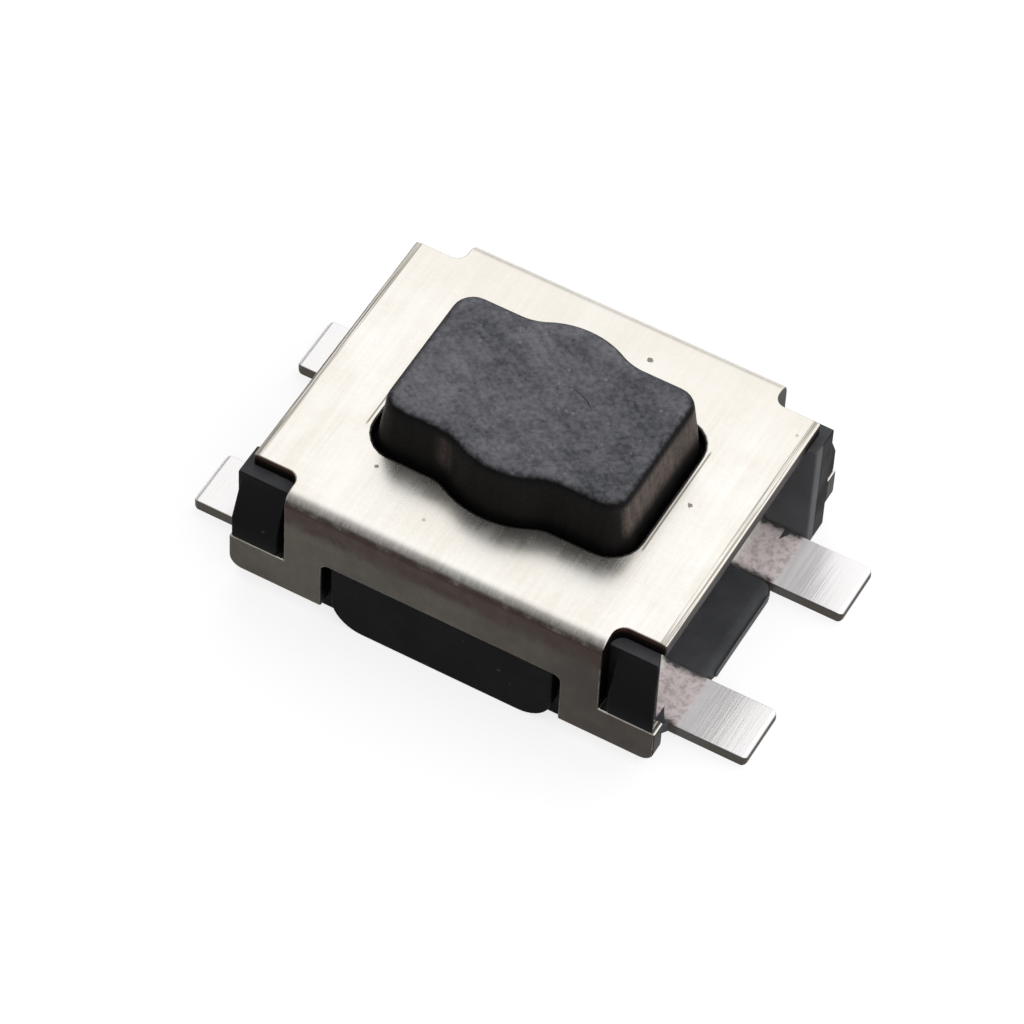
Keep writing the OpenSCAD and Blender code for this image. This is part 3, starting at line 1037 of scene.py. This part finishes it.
def brushed_nickel(s):
    """Finish of the cover: brushed plate, with painted shade that darkens it towards the back, flanges in a
    darker painted-shade copy of its metal, painted brown shade along the folds, and brown cut faces whose
    lower part, like the flanges' inner faces, is painted nearly black as shade.
    """
    material, graph, shader = start_material("brushed nickel")
    mm = InMillimetres(s)
    top = COVER_HIGH[2]
    place, facing = surface(graph)
    x, y, z = graph.split(place)
    along = graph.size(x)
    across = graph.size(y)
    face = graph.split(facing)
    face_y = graph.size(face[1])
    face_z = graph.size(face[2])
    flat = graph.step(face_z, 0.72, 0.96)
    grain = graph.group("grain", Place=place, Fine=34.0, Coarse=2.2)
    cloud = grain["Cloud"]
    fine = graph.step(grain["Grain"], 0.32, 0.68)
    mottle = graph.step(graph.noise(place, 9.0, 3.0), 0.3, 0.7)
    lines = graph.streaks(place, (30.0, 1.2, 1.2), 0.26)
    cross = graph.streaks(place, (1.6, 30.0, 1.6))
    upright = graph.streaks(place, (22.0, 22.0, 2.4))
    hairs = graph.streaks(place, (50.0, 13.0, 13.0), 0.3)
    streaky = graph.streaks(place, (64.0, 0.9, 0.9), 0.08)

    # The plate: brushed, darker towards the back as painted shade, with the dents and a line beside each end
    # of the opening.
    sheen = graph.blend((lines, 0.42), (cross, 0.08), (cloud, 0.38), (fine, 0.12))
    sheen = graph.times(sheen, graph.step(y, 0.5, 1.5, 1.0, 0.55))
    plate = graph.mix(sheen, s.plate_dull, s.plate_colour)
    for dent_x, dent_y, wide in DENTS:
        dent = round_mark(graph, place, (dent_x, dent_y, top), wide)
        plate = graph.mix(graph.times(dent, 0.75), plate, s.cut_colour)
    rim = graph.times(graph.peak(along, mm.rim_line, 0.004, 0.008), graph.step(across, 0.56, 0.62, 0.8, 0.0))
    plate = graph.mix(rim, plate, s.line_colour)
    # Painted shade: dark hairs on the upper part of each fold's curve.
    fold_hairs_shade = graph.times(graph.flip(hairs), graph.step(face_y, 0.15, 0.7), 0.3)
    plate = graph.mix(fold_hairs_shade, plate, s.cut_colour)

    # The flanges: a darker copy of the plate's metal, which is painted shade, in random patches, and the
    # front one darker towards the right.
    patches = graph.blend((upright, 0.12), (cloud, 0.58), (mottle, 0.16), (fine, 0.14))
    side = graph.mix(patches, s.flange_shade_dull, s.flange_shade_colour)
    front = graph.math("LESS_THAN", y, 0.0)
    # Darker towards the right of the front flange.
    darker_right = graph.times(graph.step(x, 0.1, 1.7), front, graph.blend((cloud, -0.3), (1.0, 0.85)))
    side = graph.mix(darker_right, side, s.darker_right_colour)

    # The folds: plate and flange colours meet along a line of fine hairs, with a band of painted brown shade
    # below it for the fold's dark reflection.
    fuzz = graph.blend((mottle, 0.35), (hairs, 0.65), (1.0, -0.5))
    over = graph.step(graph.plus(face_y, graph.times(fuzz, 0.2)), 0.76, 1.0)
    over = graph.larger(graph.times(over, graph.step(face_y, 0.5, 0.7)), graph.step(face_y, 0.93, 0.99))
    finish = graph.mix(over, plate, side)
    height = graph.plus(z, graph.times(fuzz, 0.1))
    shade_band = graph.peak(height, top - mm.fold_drop, 0.07, 0.14)
    shade_band = graph.times(shade_band, graph.blend((mottle, 0.3), (1.0, 0.65)))
    shade_band = graph.times(shade_band, graph.step(face_y, 0.6, 0.88))
    finish = graph.mix(shade_band, finish, s.fold_shade_colour)

    # The plate's ends: a narrow streaky band.
    band = graph.times(graph.step(along, mm.band_start, mm.band_start + 0.015), flat)
    finish = graph.mix(graph.times(band, graph.flip(streaky), 0.75), finish, s.line_colour)

    # Cut faces and the flanges' inner faces: bare and brown, with painted shade making them nearly black
    # lower down.
    steep = graph.step(face_z, 0.3, 0.6, 1.0, 0.0)
    cut_face = graph.times(steep, graph.step(face_y, 0.85, 0.97, 1.0, 0.0))
    inside = graph.times(steep, graph.math("LESS_THAN", across, COVER_HIGH[1] - mm.sheet - SLACK))
    bare = graph.larger(cut_face, inside)
    cut_tone = graph.mix(graph.step(z, top - 0.07, top - 0.03), s.cut_shade_dark, s.cut_colour)
    finish = graph.mix(bare, finish, cut_tone)

    specks = graph.group("specks", Place=place, Cells=5.0, Size=0.09, Share=0.16)["Mask"]
    finish = graph.mix(graph.times(specks, 0.4), finish, s.cut_colour)
    burr = graph.group("edge wear and highlight", Place=place, Radius=0.02 * MM, Turns=16.0)["Mask"]
    finish = graph.mix(graph.times(burr, 0.6), finish, s.plate_colour)

    graph.feed(shader["Base Color"], finish)
    shader["Metallic"].default_value = 1.0
    rough = graph.blend((graph.flip(flat), 0.12), (bare, 0.1), (cloud, 0.05), (lines, 0.04))
    graph.feed(shader["Roughness"], graph.plus(rough, 0.22))
    relief_height = graph.blend(
        (lines, graph.times(flat, 0.16)),
        (cross, 0.04),
        (upright, graph.step(face_z, 0.1, 0.3, 0.15, 0.0)),
        (graph.times(streaky, band), 1.2),
    )
    bumps(graph, shader, relief_height, 0.0011 * MM)
    return material


def moulded_plastic(s):
    """Finish of the base: fine mould grain, cloudy patches and pale specks, with painted light: paler ends, a
    paler grey on upper faces and in the recesses, and patchy highlights on the edges.
    """
    material, graph, shader = start_material("black moulded plastic")
    mm = InMillimetres(s)
    place, facing = surface(graph)
    x, y, _ = graph.split(place)
    along = graph.size(x)
    grain = graph.group("grain", Place=place, Fine=42.0, Coarse=2.6)
    patches = graph.blend((grain["Cloud"], 0.6), (grain["Grain"], 0.4))
    # Painted light: the ends, where the lugs stand, lean towards the pale plastic, while the belly between
    # them stays darker.
    lit_ends = graph.step(along, 1.1, 1.5)
    finish = graph.mix(graph.blend((patches, 0.5), (lit_ends, 0.6)), s.plastic_colour, s.plastic_pale)

    # Painted light: upper faces and the recesses round the legs are lifted towards a paler grey, the recess
    # walls most and the upper faces less.
    recess = graph.times(
        graph.math("GREATER_THAN", along, mm.slot_start),
        graph.math("LESS_THAN", graph.size(y), mm.slot_side),
    )
    level = graph.step(graph.split(facing)[2], 0.45, 0.95)
    upper = graph.larger(level, recess)
    light_lift = graph.times(upper, graph.blend((patches, 0.3), (level, -0.45), (1.0, 0.82)))
    finish = graph.mix(light_lift, finish, s.painted_light_grey)

    dust = graph.group("specks", Place=place, Cells=9.0, Size=0.14, Share=0.06)["Mask"]
    finish = graph.mix(graph.times(dust, 0.35), finish, s.speck_and_highlight_colour)
    # Painted highlight: patchy pale blue-grey along the edges.
    edge_wear_and_highlight = graph.group("edge wear and highlight", Place=place, Radius=0.03 * MM, Turns=9.0)["Mask"]
    finish = graph.mix(graph.times(edge_wear_and_highlight, 0.45), finish, s.speck_and_highlight_colour)

    graph.feed(shader["Base Color"], finish)
    shader["Specular IOR Level"].default_value = 0.03
    graph.feed(shader["Roughness"], graph.plus(graph.blend((grain["Cloud"], 0.14), (edge_wear_and_highlight, -0.08)), 0.42))
    bumps(graph, shader, graph.blend((grain["Grain"], 0.8), (grain["Cloud"], 0.2)), 0.0022 * MM)
    return material


def silver_plating(s):
    """Finish of the leads: bright brushed ends, an etched part, a smooth root, dark cut sides and flash."""
    material, graph, shader = start_material("silver plating")
    mm = InMillimetres(s)
    base_end = BASE_HIGH[0]
    place, facing = surface(graph)
    x, y, _ = graph.split(place)
    along = graph.size(x)
    face_z = graph.size(graph.split(facing)[2])
    grain = graph.group("grain", Place=place, Fine=30.0, Coarse=5.0)
    lines = graph.streaks(place, (46.0, 1.6, 1.6), 0.2)
    pitted = graph.noise(place, 16.0, 3.0, 0.6)
    ragged = graph.plus(along, graph.times(grain["Grain"], 0.05))
    bright = graph.step(ragged, base_end - 0.01, base_end + 0.035)
    smooth = graph.step(ragged, mm.etch_start - 0.02, mm.etch_start + 0.06, 1.0, 0.0)

    # Along a leg: smooth at the wall, etched on the way out, bright past the base, and brighter still towards
    # the tip as painted light.
    lines_and_tip_light = graph.larger(lines, graph.step(along, mm.bright_from, mm.bright_from + 0.24, 0.2, 0.8))
    silver = graph.mix(lines_and_tip_light, s.silver_dull, s.silver_colour)
    etched = graph.mix(graph.step(pitted, 0.34, 0.6, 0.36, 0.0), s.rough_colour, s.side_colour)
    finish = graph.mix(bright, etched, silver)
    finish = graph.mix(smooth, finish, s.root_colour)

    # Plastic flash that laps a little over the edges of a leg inside the base.
    off_middle = graph.size(graph.math("SUBTRACT", graph.size(y), (mm.leg_in + mm.leg_out) / 2))
    inset = graph.math("SUBTRACT", (mm.leg_out - mm.leg_in) / 2, off_middle)
    inset = graph.plus(inset, graph.blend((pitted, -0.16), (1.0, 0.04)))
    flash = graph.step(inset, -0.03, 0.03, 1.0, 0.0)
    flash = graph.times(flash, graph.step(along, base_end - 0.07, base_end - 0.01, 0.9, 0.0))
    finish = graph.mix(flash, finish, s.flash_colour)

    steep = graph.step(face_z, 0.4, 0.75, 1.0, 0.0)
    cut_side = graph.times(steep, graph.step(along, mm.etch_start + 0.02, mm.etch_start + 0.1))
    finish = graph.mix(cut_side, finish, s.side_colour)
    edge_wear_and_highlight = graph.group("edge wear and highlight", Place=place, Radius=0.015 * MM, Turns=20.0)["Mask"]
    finish = graph.mix(graph.times(edge_wear_and_highlight, 0.4), finish, s.silver_colour)

    graph.feed(shader["Base Color"], finish)
    metal = graph.step(along, mm.bright_from, mm.bright_from + 0.3, 0.15, 0.85)
    graph.feed(shader["Metallic"], graph.times(bright, metal, graph.flip(flash)))
    rough = graph.blend((graph.flip(bright), 0.22), (cut_side, 0.1), (lines, 0.05))
    graph.feed(shader["Roughness"], graph.plus(rough, 0.28))
    etch = graph.times(graph.flip(bright), graph.flip(smooth))
    height = graph.blend((lines, 0.3), (graph.times(grain["Grain"], etch), 1.6))
    bumps(graph, shader, height, 0.002 * MM)
    return material


def sheen_painted_plastic(s):
    """Finish of the button: a slate top with a curved scratch, whose lightness is painted sheen, and
    near-black sides with painted sheen in streaky places.
    """
    material, graph, shader = start_material("button plastic with painted sheen")
    mm = InMillimetres(s)
    cover_top = COVER_HIGH[2]
    button_top = BUTTON_HIGH[2]
    place, facing = surface(graph)
    x, _, z = graph.split(place)
    face = graph.split(facing)
    grain = graph.group("grain", Place=place, Fine=24.0, Coarse=2.0)
    fine = graph.step(grain["Grain"], 0.34, 0.66)
    fibres = graph.streaks(graph.turned(place, 0.5), (5.0, 17.0, 5.0), 0.1)
    rubs = graph.streaks(graph.turned(place, -0.7), (4.0, 24.0, 4.0), 0.16)
    upright = graph.streaks(place, (15.0, 15.0, 1.3), 0.14)

    # The top: painted sheen, mottled by scuffs and darker towards the right, with dark pits and pale flecks.
    right = graph.step(x, 0.2, 1.0)
    scuffs = graph.blend((grain["Cloud"], 0.34), (fine, 0.32), (fibres, 0.2), (rubs, 0.18), (right, -0.16))
    top = graph.mix(scuffs, s.top_sheen_dark, s.top_sheen_colour)
    pits = graph.group("specks", Place=place, Cells=15.0, Size=0.24, Share=0.2)["Mask"]
    top = graph.mix(graph.times(pits, 0.3), top, s.side_colour)
    moved = graph.scaled(place, (1.1, 1.2, 1.3))
    flecks = graph.group("specks", Place=moved, Cells=15.0, Size=0.26, Share=0.16)["Mask"]
    top = graph.mix(graph.times(flecks, 0.45), top, s.fleck_colour)

    # The scratch: a short stretch of a circle on the top.
    centre = (s.scratch_place[0] / MM, s.scratch_place[1] / MM, 0.0)
    level = graph.scaled(graph.vectors("SUBTRACT", place, centre)["Vector"], (1.0, 1.0, 0.0))
    way = graph.vectors("NORMALIZE", level)["Vector"]
    middle_way = (0.41, 0.91, 0.0)
    stretch = graph.step(graph.vectors("DOT_PRODUCT", way, middle_way)["Value"], 0.86, 0.93)
    scratch = graph.times(graph.peak(graph.far(level), mm.scratch_radius, 0.004, 0.008), stretch)
    top = graph.mix(graph.times(scratch, fine, 0.7), top, s.side_colour)

    # The sides: near-black, with painted sheen in upright streaks on the ends and in one hollow beside the
    # bulge, between the cover and the top's rounding.
    from_cover = graph.step(z, cover_top + 0.06, cover_top + 0.24)
    middle = graph.times(from_cover, graph.step(z, button_top - 0.13, button_top - 0.05, 1.0, 0.0))
    ends = graph.step(graph.size(face[0]), 0.75, 0.95)
    hollow = graph.times(graph.peak(x, -mm.hollow, 0.0, 0.14), 0.55)
    sheeny = graph.larger(ends, hollow)
    streaky = graph.times(graph.blend((upright, 0.4), (fine, 0.3), (1.0, 0.3)), sheeny, middle)
    side = graph.mix(graph.larger(streaky, graph.times(upright, 0.02)), s.side_colour, s.streak_sheen_colour)

    # Painted sheen: faces that look up, above the cover, take the top's colour, and all else keeps the sides'
    # colour.
    lit_top = graph.step(graph.plus(face[2], graph.times(fine, 0.06)), 0.66, 1.04)
    above = graph.math("GREATER_THAN", z, cover_top)
    graph.feed(shader["Base Color"], graph.mix(graph.times(lit_top, above), side, top))
    shader["Specular IOR Level"].default_value = 0.08
    graph.feed(shader["Roughness"], graph.blend((lit_top, 0.16), (grain["Cloud"], 0.1), (1.0, 0.4)))
    height = graph.blend(
        (grain["Grain"], 1.2),
        (grain["Cloud"], 0.4),
        (fibres, 0.3),
        (pits, -0.8),
        (flecks, 0.5),
        (scratch, -1.2),
        (graph.times(upright, graph.flip(lit_top)), 0.6),
    )
    bumps(graph, shader, height, 0.004 * MM)
    return material


def spring_steel(s):
    """Finish of the snap dome: bright strip metal with fine rings from pressing."""
    material, graph, shader = start_material("spring steel")
    place, _ = surface(graph)
    from_middle = graph.far(graph.scaled(place, (1.0, 1.0, 0.0)))
    rings = graph.streaks(graph.add("ShaderNodeCombineXYZ", {0: from_middle}).outputs[0], (34.0, 1.0, 1.0))
    lines = graph.streaks(place, (1.4, 40.0, 1.4))
    both = graph.blend((rings, 0.5), (lines, 0.5))
    graph.feed(shader["Base Color"], graph.mix(both, s.dull_colour, s.metal_colour))
    shader["Metallic"].default_value = 1.0
    graph.feed(shader["Roughness"], graph.plus(graph.times(both, 0.08), 0.2))
    bumps(graph, shader, both, 0.0006 * MM)
    return material


class SWITCH_OT_cover(bpy.types.Operator):
    """Build the folded metal cover"""

    bl_idname = "switch.cover"
    bl_label = "Cover"
    bl_options = {"REGISTER", "UNDO"}

    def execute(self, context):
        scene = context.scene
        make_groups()
        material = brushed_nickel(scene.switch_cover)
        build_cover(InMillimetres(scene.switch_cover), InMillimetres(scene.switch_button), material)
        return {"FINISHED"}


class SWITCH_OT_base(bpy.types.Operator):
    """Build the moulded base"""

    bl_idname = "switch.base"
    bl_label = "Base"
    bl_options = {"REGISTER", "UNDO"}

    def execute(self, context):
        scene = context.scene
        make_groups()
        material = moulded_plastic(scene.switch_base)
        build_base(InMillimetres(scene.switch_base), InMillimetres(scene.switch_leads), material)
        return {"FINISHED"}


class SWITCH_OT_leads(bpy.types.Operator):
    """Build the two leads"""

    bl_idname = "switch.leads"
    bl_label = "Leads"
    bl_options = {"REGISTER", "UNDO"}

    def execute(self, context):
        scene = context.scene
        make_groups()
        material = silver_plating(scene.switch_leads)
        build_leads(InMillimetres(scene.switch_leads), material)
        return {"FINISHED"}


class SWITCH_OT_button(bpy.types.Operator):
    """Build the push button"""

    bl_idname = "switch.button"
    bl_label = "Button"
    bl_options = {"REGISTER", "UNDO"}

    def execute(self, context):
        scene = context.scene
        make_groups()
        material = sheen_painted_plastic(scene.switch_button)
        build_button(InMillimetres(scene.switch_button), InMillimetres(scene.switch_base), material)
        return {"FINISHED"}


class SWITCH_OT_dome(bpy.types.Operator):
    """Build the snap dome"""

    bl_idname = "switch.dome"
    bl_label = "Snap dome"
    bl_options = {"REGISTER", "UNDO"}

    def execute(self, context):
        scene = context.scene
        make_groups()
        material = spring_steel(scene.switch_dome)
        build_dome(InMillimetres(scene.switch_dome), material)
        return {"FINISHED"}


class SWITCH_OT_stage(bpy.types.Operator):
    """Set up the camera, the light and the floor"""

    bl_idname = "switch.stage"
    bl_label = "Stage"
    bl_options = {"REGISTER", "UNDO"}

    def execute(self, context):
        stage = context.scene.switch_stage
        add_camera(stage)
        add_floor(stage)
        add_light(context.scene)
        context.scene.view_settings.view_transform = "Standard"
        return {"FINISHED"}


def add_camera(stage):
    """The camera, at the photograph's viewing angle."""
    turn, rise, roll = stage.azimuth, stage.elevation, stage.roll
    back = Vector((math.sin(turn) * math.cos(rise), -math.cos(turn) * math.cos(rise), math.sin(rise)))
    level = Vector((math.cos(turn), math.sin(turn), 0))
    right = level * math.cos(roll) + back.cross(level) * math.sin(roll)
    up = back.cross(right)
    axes = Matrix((right, up, back)).transposed()
    bpy.ops.object.camera_add(location=Vector(stage.aim) + back * stage.distance, rotation=axes.to_euler())
    camera = bpy.context.object
    camera.data.lens = stage.lens
    camera.data.sensor_width = 36.0
    camera.data.clip_start = 0.001
    camera.data.clip_end = 10.0
    bpy.context.scene.camera = camera


def add_floor(stage):
    """The plain floor that the switch stands on."""
    bpy.ops.mesh.primitive_plane_add(size=2.0, location=(0, 0, -0.002 * MM))
    floor = bpy.context.object
    floor.name = "studio_floor"
    bpy.ops.object.transform_apply(location=True, rotation=True, scale=True)
    material, graph, shader = start_material("plain floor")
    path = graph.add("ShaderNodeLightPath").outputs
    seen = path["Is Camera Ray"]
    for kind in ("Is Glossy Ray", "Is Transmission Ray"):
        seen = graph.larger(seen, path[kind])
    shader["Base Color"].default_value = (*stage.floor_colour, 1)
    shader["Roughness"].default_value = 1.0
    shader["Specular IOR Level"].default_value = 0.0
    shader["Emission Color"].default_value = (1, 1, 1, 1)
    graph.feed(shader["Emission Strength"], graph.times(seen, stage.floor_glow))
    floor.data.materials.append(material)


def add_light(scene):
    """Soft light from above and behind, that falls off towards the front and the horizon."""
    stage = scene.switch_stage
    world = bpy.data.worlds.new("soft studio")
    scene.world = world
    world.use_nodes = True
    graph = Graph(world.node_tree)
    background = world.node_tree.nodes["Background"].inputs
    way = graph.add("ShaderNodeTexCoord").outputs["Generated"]
    brightest = (0.5, 0.4, 0.77)
    towards = graph.vectors("DOT_PRODUCT", way, brightest)["Value"]
    graph.feed(background["Strength"], graph.step(towards, 0.1, 0.65, stage.front, stage.sky))
    background["Color"].default_value = (1, 1, 1, 1)


OPERATORS = (
    SWITCH_OT_cover,
    SWITCH_OT_base,
    SWITCH_OT_leads,
    SWITCH_OT_button,
    SWITCH_OT_dome,
    SWITCH_OT_stage,
)


class SWITCH_PT_build(bpy.types.Panel):
    """The switch's pieces and their settings"""

    bl_label = "Push button switch"
    bl_idname = "SWITCH_PT_build"
    bl_space_type = "VIEW_3D"
    bl_region_type = "UI"
    bl_category = "Switch"

    def draw(self, context):
        for operator, name in zip(OPERATORS, SETTINGS):
            box = self.layout.box()
            box.operator(operator.bl_idname)
            settings = getattr(context.scene, name)
            for field in settings.__annotations__:
                box.prop(settings, field)


def register():
    """Register the settings, the operators and the panel."""
    for name, group in SETTINGS.items():
        bpy.utils.register_class(group)
        setattr(bpy.types.Scene, name, bpy.props.PointerProperty(type=group))
    for operator in OPERATORS:
        bpy.utils.register_class(operator)
    bpy.utils.register_class(SWITCH_PT_build)


def unregister():
    """Take the panel, the operators and the settings out again."""
    bpy.utils.unregister_class(SWITCH_PT_build)
    for operator in reversed(OPERATORS):
        bpy.utils.unregister_class(operator)
    for name, group in SETTINGS.items():
        delattr(bpy.types.Scene, name)
        bpy.utils.unregister_class(group)


def main():
    """Build every piece and the stage."""
    register()
    bpy.ops.switch.cover()
    bpy.ops.switch.base()
    bpy.ops.switch.leads()
    bpy.ops.switch.button()
    bpy.ops.switch.dome()
    bpy.ops.switch.stage()


if __name__ == "__main__":
    main()
